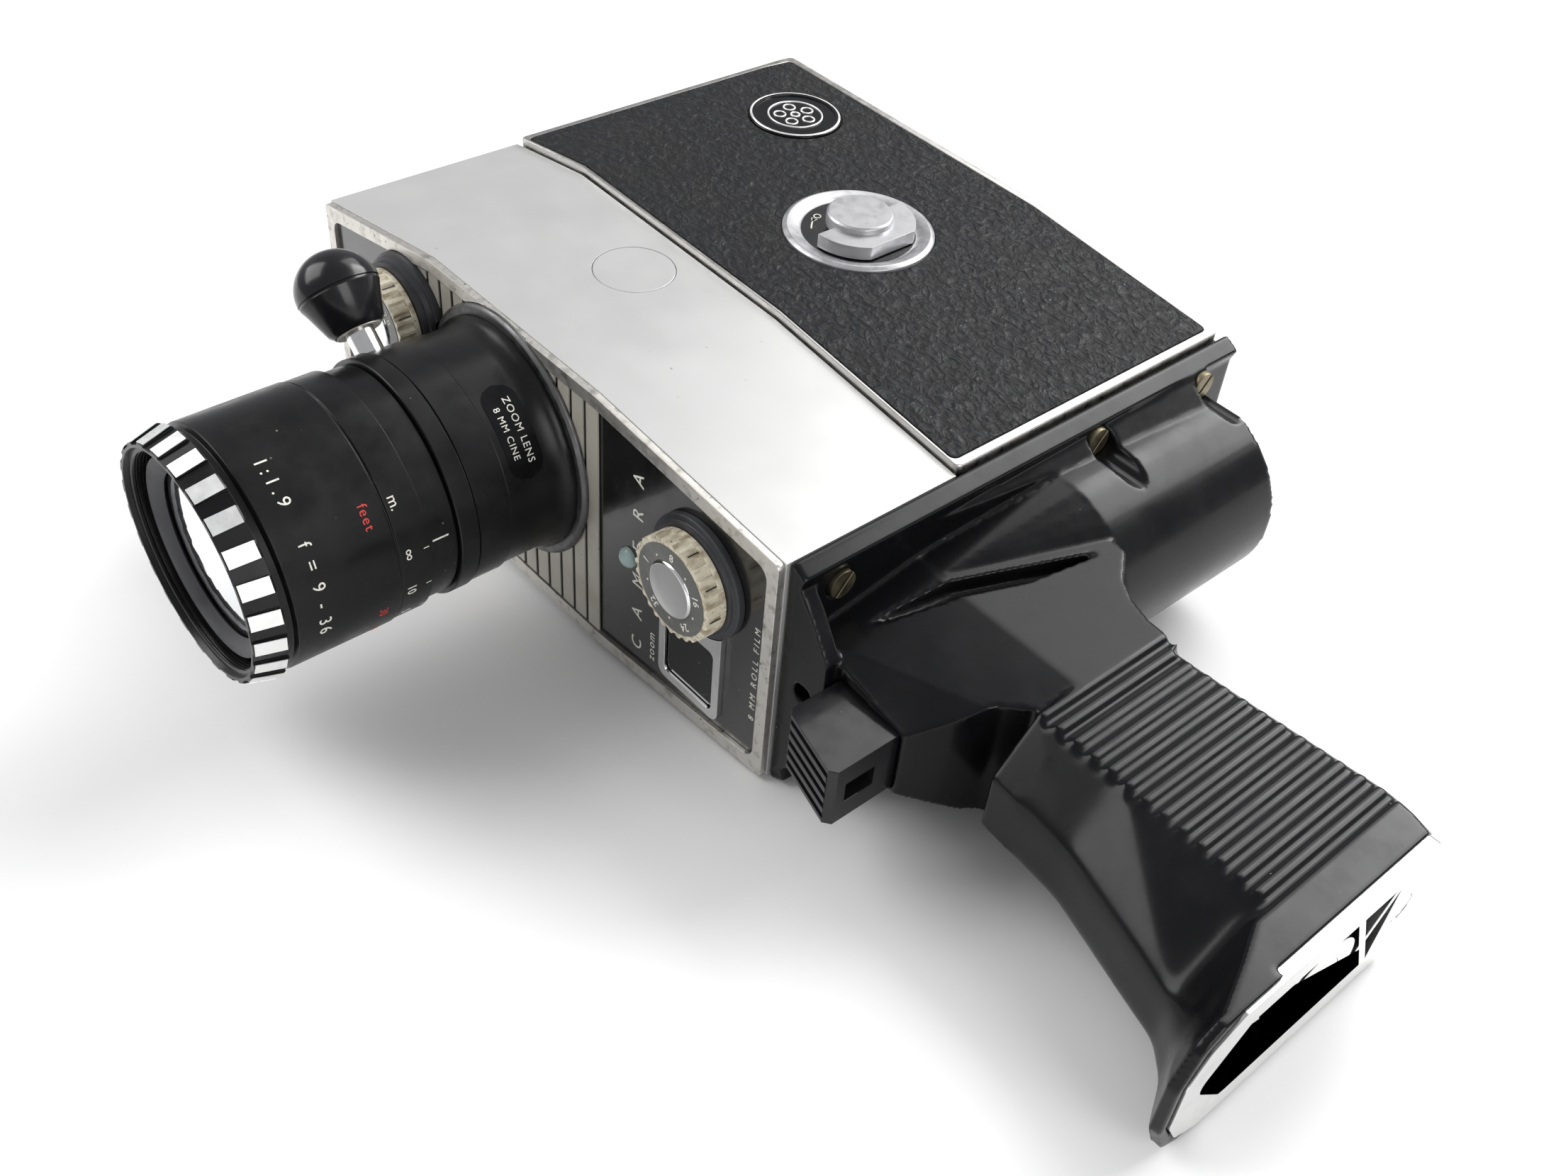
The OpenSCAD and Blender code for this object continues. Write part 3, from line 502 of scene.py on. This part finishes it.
def printed(name, marks, wrap, material, body):
    """Joins flat marks into one piece. Each mark is (mesh, place); wrap maps its points onto the surface."""
    shape = bmesh.new()
    for mesh, place in marks:
        start = len(shape.verts)
        shape.from_mesh(mesh)
        shape.verts.ensure_lookup_table()
        for v in shape.verts[start:]:
            v.co = wrap(v.co, place)
    bmesh.ops.recalc_face_normals(shape, faces=shape.faces)
    mesh = bpy.data.meshes.new(name)
    shape.to_mesh(mesh)
    shape.free()
    return add_piece(name, mesh, material, body)


def on_barrel(radius):
    """Wraps (u, v, w) onto the lens: u round it, v towards the body, w outwards. A place is (degrees, y)."""
    def wrap(p, place):
        angle = math.radians(place[0]) + p.x / radius
        r = radius + p.z + 0.00001
        return Vector((lens_axis.x + r * math.sin(angle), place[1] + p.y, lens_axis.z + r * math.cos(angle)))
    return wrap


def on_dial(centre, y, radius):
    """Stands marks round a dial's face, their feet inwards. A place is an angle in degrees."""
    def wrap(p, place):
        a = math.radians(place)
        out = Vector((math.sin(a), 0, math.cos(a)))
        side = Vector((math.cos(a), 0, -math.sin(a)))
        return Vector((centre.x, y - p.z, centre.z)) + out * (radius + p.y) + side * p.x
    return wrap


def on_dial_rim(centre, radius):
    """Wraps marks round a dial's rim. A place is (degrees, y of the baseline)."""
    def wrap(p, place):
        a = math.radians(place[0]) + p.x / radius
        r = radius + p.z + 0.00001
        return Vector((centre.x + r * math.sin(a), place[1] + p.y, centre.z + r * math.cos(a)))
    return wrap


# ---------- the body ----------

EDGES = {
    "front_housing": 0.0007, "battery_cover": 0.0002, "body_casting": 0.0004, "front_bezel": 0.0003,
    "name_panel": 0.0002, "stripe_panel": 0.00008, "meter_frame": 0.0003, "meter_glass": 0.0002,
    "door_panel": 0.00035, "door_leather": 0.00025, "lock_ring": 0.00015, "door_badge": 0.00015,
    "right_cover": 0.00035, "right_leather": 0.00025, "counter_window": 0.00015,
    "lens_flange": 0.0002, "lens_barrel": 0.0002, "index_sleeve": 0.0002, "zoom_ring": 0.0002,
    "focus_barrel": 0.0002, "fluted_ring": 0.00015, "front_cell": 0.00015,
    "speed_dial_base": 0.0002, "aperture_dial_base": 0.0002, "speed_dial": 0.00015, "aperture_dial": 0.00015,
    "speed_dial_cap": 0.00012, "aperture_dial_cap": 0.00012,
    "base_screws": 0.00015, "trigger": 0.0003, "foot_plate": 0.0003, "foot_screws": 0.00015,
    "eyepiece_ring": 0.0002, "winding_crank": 0.0003, "crank_handle": 0.0003, "tripod_bush": 0.0002,
    "takeup_spool": 0.0002, "pressure_plate": 0.0002, "film_gate": 0.0001,
}
FINISHES = {"battery_cover": LOOKS["silver_paint"], "lock_ring": KEY_METAL}
for node, width in EDGES.items():
    refined(node, width, FINISHES.get(node))
refined("lock_key", 0.0003, KEY_METAL)


def cast_grip():
    """The grip's casting, remeshed and relaxed so that its edges run soft, as on a painted die casting."""
    mesh = nodes["grip_casting"].data.copy()
    piece = new_object("fine_grip_casting", mesh, LOOKS["black_casting"])
    remesh = piece.modifiers.new("remesh", "REMESH")
    remesh.mode = "VOXEL"
    remesh.voxel_size = 0.00045
    baked(piece)
    low, high = BOXES["grip_casting"]
    mid_z = (low.z + high.z) / 2
    hood, toe, half_thick, falloff = 0.045, 0.0032, 0.0140, 0.002
    flank = piece.vertex_groups.new(name="flank")
    for v in piece.data.vertices:
        inside = min(v.co.x - low.x - hood, high.x - toe - v.co.x, half_thick - abs(v.co.z - mid_z))
        if inside > 0:
            flank.add([v.index], min(1.0, inside / falloff), "REPLACE")
    for name, rounds, group in (("flanks", 110, "flank"), ("all", 2, "")):
        relax = piece.modifiers.new(name, "SMOOTH")
        relax.factor = 0.5
        relax.iterations = rounds
        relax.vertex_group = group
    baked(piece)
    for polygon in piece.data.polygons:
        polygon.use_smooth = True
    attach(piece, "camera_body")
    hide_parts("grip_casting")


cast_grip()

for node, piece in nodes.items():
    if not piece.hide_render:
        piece.data.materials.clear()
        piece.data.materials.append(LOOKS[slot_of_node[node]])
        crisp(piece.data)
# The front lens takes the near-white mirror colour, a painted reflection.
nodes["front_lens"].data.materials[0] = painted_reflection_glass()


# ---------- the lens ----------

def silver_lands():
    """Bright flat bars between the ring's black flutes."""
    low, high = BOXES["fluted_ring"]
    lands = 24
    rise = 0.0014 / (high.y - low.y - 0.0005)
    bar = bar_mesh(0.0029, high.y - low.y - 0.0007, 0.00012)
    marks = [(bar, 360 / lands * (i + 0.5)) for i in range(lands)]

    def wrap(p, place):
        a = math.radians(place)
        along = p.y + 0.0002
        radius = 0.02104 + along * rise + p.z
        out = Vector((math.sin(a), 0, math.cos(a)))
        side = Vector((math.cos(a), 0, -math.sin(a)))
        return Vector((lens_axis.x, low.y + along, lens_axis.z)) + out * radius + side * p.x

    return printed("fluted_ring_lands", marks, wrap, BRIGHT, "focus")


silver_lands()
thread_top = lens_front + 0.0008
threads = [(0.0196, thread_top)]
for turn in range(9):
    y = thread_top + 0.0006 * turn
    threads += [(0.0196, y + 0.0001), (0.01915, y + 0.0003), (0.0196, y + 0.0005)]
threads += [(0.0200, y + 0.0005), (0.0200, thread_top)]
lathe("filter_thread", [(r, h - lens_axis.y) for r, h in threads], lens_axis, (0, 1, 0),
      LOOKS["lens_black"], "focus")
lens_edge = BOXES["front_lens"][0].y
retainer = [(0.0148, 0), (0.0162, -0.0012), (0.0176, -0.0016), (0.0176, -0.0004), (0.0158, 0.0006)]
lathe("front_retainer", retainer, Vector((lens_axis.x, lens_edge + 0.0012, lens_axis.z)), (0, 1, 0),
      LOOKS["dial_base"], "front_group")

focus_y = BOXES["focus_barrel"][0].y
scale_y = BOXES["focus_barrel"][1].y
barrel = on_barrel(focus_radius)
printed("focus_lens_figures", [
    (text_mesh("1:1.9", 0.0031, spacing=1.45), (30, focus_y + 0.0055)),
    (text_mesh("f = 9 - 36", 0.0031, spacing=1.45), (81, focus_y + 0.0055)),
], barrel, WHITE_INK, "focus")
scale_radius = focus_radius - 0.0002
metres = ["∞", "10", "5", "3", "2", "1.5"]
feet = ["∞", "30", "15", "10", "6", "5"]
white = [(text_mesh(t, 0.0024), (82 + 21 * i, scale_y - 0.0049)) for i, t in enumerate(metres)]
white += [(text_mesh("m.", 0.0026), (57, scale_y - 0.0049))]
white += [(bar_mesh(0.00014, 0.0010), (82 + 21 * i, scale_y - 0.0014)) for i in range(len(metres))]
printed("focus_scale_metres", white, on_barrel(scale_radius), WHITE_INK, "focus")
red = [(text_mesh(t, 0.0022), (110 + 21 * i, focus_y + 0.0165)) for i, t in enumerate(feet[1:])]
red += [(text_mesh("feet", 0.0024, spacing=1.2), (58, focus_y + 0.0165))]
printed("focus_scale_feet", red, barrel, RED_INK, "focus")

sleeve_radius = size_of("index_sleeve").x / 2
index = [(bar_mesh(0.0003, 0.0030), (82, BOXES["index_sleeve"][0].y + 0.0006))]
printed("focus_index", index, on_barrel(sleeve_radius), WHITE_INK, "camera_body")

zoom_foot = BOXES["zoom_ring"][0].y
zoom_scale = [(text_mesh(t, 0.0017), (150 + 24 * i, zoom_foot + 0.0012))
              for i, t in enumerate(("9", "12", "18", "25", "36"))]
zoom_scale += [(bar_mesh(0.00014, 0.0009), (150 + 24 * i, zoom_foot + 0.0031)) for i in range(5)]
printed("zoom_scale", zoom_scale, on_barrel(sleeve_radius + 0.0008), WHITE_INK, "zoom")


def lens_label():
    """A small glossy plate with rounded ends on the lens, and two lines of plain lettering."""
    radius = sleeve_radius + 0.0001
    middle = BOXES["zoom_ring"][1].y + 0.0049
    wide, tall, steps = 0.0172, 0.0066, 28
    shape = bmesh.new()
    rows = []
    for i in range(steps + 1):
        u = wide * (i / steps - 0.5)
        end = max(0.0, abs(u) - (wide - tall) / 2)
        half = math.sqrt(max(1e-9, (tall / 2) ** 2 - end ** 2))
        rows.append([shape.verts.new((u, v, 0.00006)) for v in (-half, -half / 3, half / 3, half)])
    for a, b in zip(rows, rows[1:]):
        for j in range(3):
            shape.faces.new((a[j], b[j], b[j + 1], a[j + 1]))
    plate = bpy.data.meshes.new("plate")
    shape.to_mesh(plate)
    shape.free()
    place = on_barrel(radius)
    printed("lens_label", [(plate, (49, middle))], place, LOOKS["badge"], "camera_body")
    words = [(text_mesh("ZOOM LENS", 0.0019, spacing=1.15), (49, middle + 0.0004)),
             (text_mesh("8 MM CINE", 0.0017, spacing=1.15), (49, middle - 0.0020))]
    printed("lens_label_words", words, lambda p, at: place(p + Vector((0, 0, 0.0001)), at), WHITE_INK,
            "camera_body")


lens_label()

# Lever knob: a lathed ball with its parting groove, and the pale washer under it
rod = centre_of("zoom_rod")
lever = Vector((rod.x - lens_axis.x, 0, rod.z - lens_axis.z)).normalized()
foot = Vector((lens_axis.x, rod.y, lens_axis.z))
knob_r = size_of("zoom_knob").y / 2 - 0.0001
knob_mid = 0.0332
knob = [(0.0028, 0.0262), (0.0044, 0.0258), (0.0052, 0.0266), (0.0069, 0.0314), (0.0074, 0.0326),
        (0.0073, 0.03285), (0.0073, 0.03305), (0.00755, 0.0332)]
knob += [(knob_r * math.cos(math.radians(a)), knob_mid + 0.0001 + 0.0072 * math.sin(math.radians(a)))
         for a in range(6, 90, 6)]
knob += [(0, knob_mid + 0.0073), (0, 0.0284), (0.0028, 0.0284)]
knob_piece = lathe("fine_zoom_knob", knob, foot, lever, LOOKS["black_plastic"], "zoom", 64)
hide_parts("zoom_knob")
lathe("knob_washer", [(0.0027, 0.0261), (0.0041, 0.02572), (0.0041, 0.02555), (0.0027, 0.0257)], foot, lever,
      LOOKS["stripes"], "zoom", 48)


# ---------- dials, lock, badge ----------

def dial_marks(node, cap, numbers, name, body):
    centre = centre_of(node)
    face_y = BOXES[node][0].y
    rim = size_of(node).x / 2
    lathe(name + "_face", [(0.0053, 0), (rim - 0.0011, 0), (rim - 0.0011, 0.00012), (0.0053, 0.00012)],
          Vector((centre.x, face_y - 0.0001, centre.z)), (0, 1, 0), DIAL_FACE, body, 72)
    step = 360 / len(numbers)
    figures = [(text_mesh(t, 0.0021), step * i) for i, t in enumerate(numbers)]
    dots = [(bar_mesh(0.00035, 0.00035), step * (i + 0.5)) for i in range(len(numbers))]
    on_face = on_dial(centre, face_y - 0.00014, 0.0060)
    printed(name + "_figures", figures + dots, on_face, WHITE_INK, body)
    # Thin black strips round the rim, sunk into its grooves: painted shade in the grooves.
    rib = size_of(node).y * 0.35
    groove_shades = [(bar_mesh(0.00022, rib), (360 / 56 * i, face_y + 0.0007)) for i in range(0, 56, 3)]
    printed(name + "_groove_shade", groove_shades, on_dial_rim(centre, rim - 0.0002), BLACK_INK_AND_SHADE, body)
    cap_centre = centre_of(cap)
    cap_front = BOXES[cap][0].y
    lathe(name + "_cap_rim", rod_ring(0.0049, 0.00022, 0),
          Vector((cap_centre.x, cap_front + 0.0003, cap_centre.z)), (0, 1, 0), LOOKS["chrome"], body, 72)
    wedges = [(bar_mesh(0.0007, 0.0008), a) for a in (45, 165, 285)]
    printed(name + "_cap_marks", wedges, on_dial(cap_centre, cap_front + 0.0004, 0.0036), BLACK_INK_AND_SHADE, body)


SPEEDS = ["8", "16", "24", "32", "1"]
STOPS = ["2", "2.8", "4", "5.6", "8", "11", "16"]
dial_marks("speed_dial", "speed_dial_cap", SPEEDS, "speed", "speed_knob")
dial_marks("aperture_dial", "aperture_dial_cap", STOPS, "aperture", "aperture_knob")


def lock_marks():
    """The black plate inside the lock's dished ring, with a curved arrow and a ring mark at each end."""
    centre = centre_of("lock_ring")
    z = BOXES["lock_ring"][1].z - 0.00095
    plate = [(0.0031, 0), (0.0109, 0), (0.0109, 0.00012), (0.0031, 0.00012)]
    lathe("lock_plate", plate, Vector((centre.x, centre.y, z)), (0, 0, 1), LOOKS["black_panel"], "door")

    def flat(p, place):
        a = math.radians(place[0]) + p.x / 0.0089
        r = 0.0089 + p.y + place[1]
        return Vector((centre.x + r * math.cos(a), centre.y + r * math.sin(a), z + 0.00013 + p.z))

    arrow = [(bar_mesh(0.0030, 0.00028), (222, -0.0001))]
    arrow += [(bar_mesh(0.0010 - 0.0002 * i, 0.00028 + 0.0003 * i), (211.6 - 1.2 * i, -0.0001 - 0.00015 * i))
              for i in range(4)]
    arrow += [(text_mesh("O", 0.0022), (200, -0.0008)), (text_mesh("O", 0.0022), (318, -0.0008))]
    printed("lock_marks", arrow, flat, WHITE_INK, "door")


def badge_emblem():
    """A plain film-reel sign inside the badge's rim."""
    centre = centre_of("door_badge")
    top = BOXES["door_badge"][1].z
    outer = size_of("door_badge").x / 2
    lathe("badge_rim", rod_ring(outer - 0.0006, 0.00035, 0), Vector((centre.x, centre.y, top - 0.0003)), (0, 0, 1),
          BRIGHT, "door")
    lathe("badge_reel", rod_ring(0.0056, 0.0002, 0), Vector((centre.x, centre.y, top - 0.00022)), (0, 0, 1),
          BRIGHT, "door")
    lathe("badge_hub", rod_ring(0.0009, 0.0002, 0), Vector((centre.x, centre.y, top - 0.00022)), (0, 0, 1),
          BRIGHT, "door", 32)
    for i in range(5):
        a = math.radians(72 * i + 90)
        place = Vector((centre.x + 0.0032 * math.cos(a), centre.y + 0.0032 * math.sin(a), top - 0.00022))
        lathe(f"badge_hole_{i}", rod_ring(0.0012, 0.00018, 0), place, (0, 0, 1), BRIGHT, "door", 40)


def panel_words():
    """Plain lettering on the black front panel, reading towards the film door."""
    face = BOXES["name_panel"][0].y
    low, high = BOXES["front_bezel"]
    middle = (low.z + high.z) / 2

    def flat(p, place):
        return Vector((high.x - place[0] - p.y, face - 0.00002 - p.z, middle + place[1] + p.x))

    words = [(text_mesh(t, 0.0040), (0.0342, 0.0075 * i - 0.020)) for i, t in enumerate("CAMERA")]
    words += [(text_mesh("zoom", 0.0026, spacing=1.2), (0.0304, -0.0175))]
    words += [(text_mesh("8 MM ROLL FILM", 0.0019, spacing=1.6), (0.0036, -0.003))]
    printed("panel_words", words, flat, WHITE_INK, "camera_body")


lock_marks()
badge_emblem()
panel_words()

# ---------- stage, lights and camera ----------


def stage_floor():
    """A wide pale floor, tilted so that it meets the body's lower edge and the corner of the grip."""
    edge = Vector((BOXES["front_housing"][1].x, 0, BOXES["front_housing"][0].z + 0.0038))
    toe = Vector((BOXES["grip_casting"][1].x, 0, centre_of("grip_casting").z - 0.0142))
    slope = math.atan2(toe.z - edge.z, toe.x - edge.x)
    bpy.ops.mesh.primitive_plane_add(size=6)
    floor = bpy.context.object
    floor.name = "floor"
    normal = Vector((-math.sin(slope), 0, math.cos(slope)))
    floor.rotation_euler = (0, -slope, 0)
    floor.location = edge - normal * 0.0006
    s = Surface("floor", (0.88, 0.875, 0.87), 0.55)
    s.raised(s.noise(300, 2), 0.02, 0.0001)
    floor.data.materials.append(s.material)


def soft_light(name, place, target, size, power, colour=(1, 1, 1)):
    light = bpy.data.lights.new(name, "AREA")
    light.shape = "RECTANGLE"
    light.size, light.size_y = size
    light.energy = power
    light.color = colour
    lamp = bpy.data.objects.new(name, light)
    bpy.context.scene.collection.objects.link(lamp)
    lamp.location = place
    lamp.rotation_mode = "QUATERNION"
    lamp.rotation_quaternion = (Vector(target) - Vector(place)).to_track_quat("-Z", "Y")


def camera():
    """The photograph's viewpoint: close, from the lens side and above the grip."""
    right = Vector((0.67171, 0.73451, 0.09640))
    down = Vector((0.55944, -0.41763, -0.71597))
    ahead = Vector((-0.48563, 0.53486, -0.69144))
    data = bpy.data.cameras.new("camera")
    data.sensor_width = 36
    data.lens = 38.05
    data.shift_x = -0.0379
    data.shift_y = 0.0295
    data.clip_start = 0.01
    lens = bpy.data.objects.new("camera", data)
    bpy.context.scene.collection.objects.link(lens)
    columns = Matrix((right, -down, -ahead)).transposed().to_4x4()
    lens.matrix_world = Matrix.Translation((0.1538, -0.15495, 0.2206)) @ columns
    bpy.context.scene.camera = lens


stage_floor()
middle = (cad_box[0] + cad_box[1]) / 2
soft_light("key", (0.15, 1.15, 0.95), middle, (1.0, 0.8), 20)
soft_light("card", (-0.34, 0.86, 0.95), middle, (0.75, 0.75), 5)
soft_light("fill", (-0.9, -0.6, 0.8), middle, (0.9, 0.9), 11)
soft_light("side", (0.95, -0.1, 0.55), middle, (0.5, 0.7), 4)
world = bpy.data.worlds.new("studio")
world.use_nodes = True
world.node_tree.nodes["Background"].inputs["Color"].default_value = (0.96, 0.97, 1.0, 1)
world.node_tree.nodes["Background"].inputs["Strength"].default_value = 0.42
bpy.context.scene.world = world
bpy.context.scene.view_settings.view_transform = "Standard"
camera()
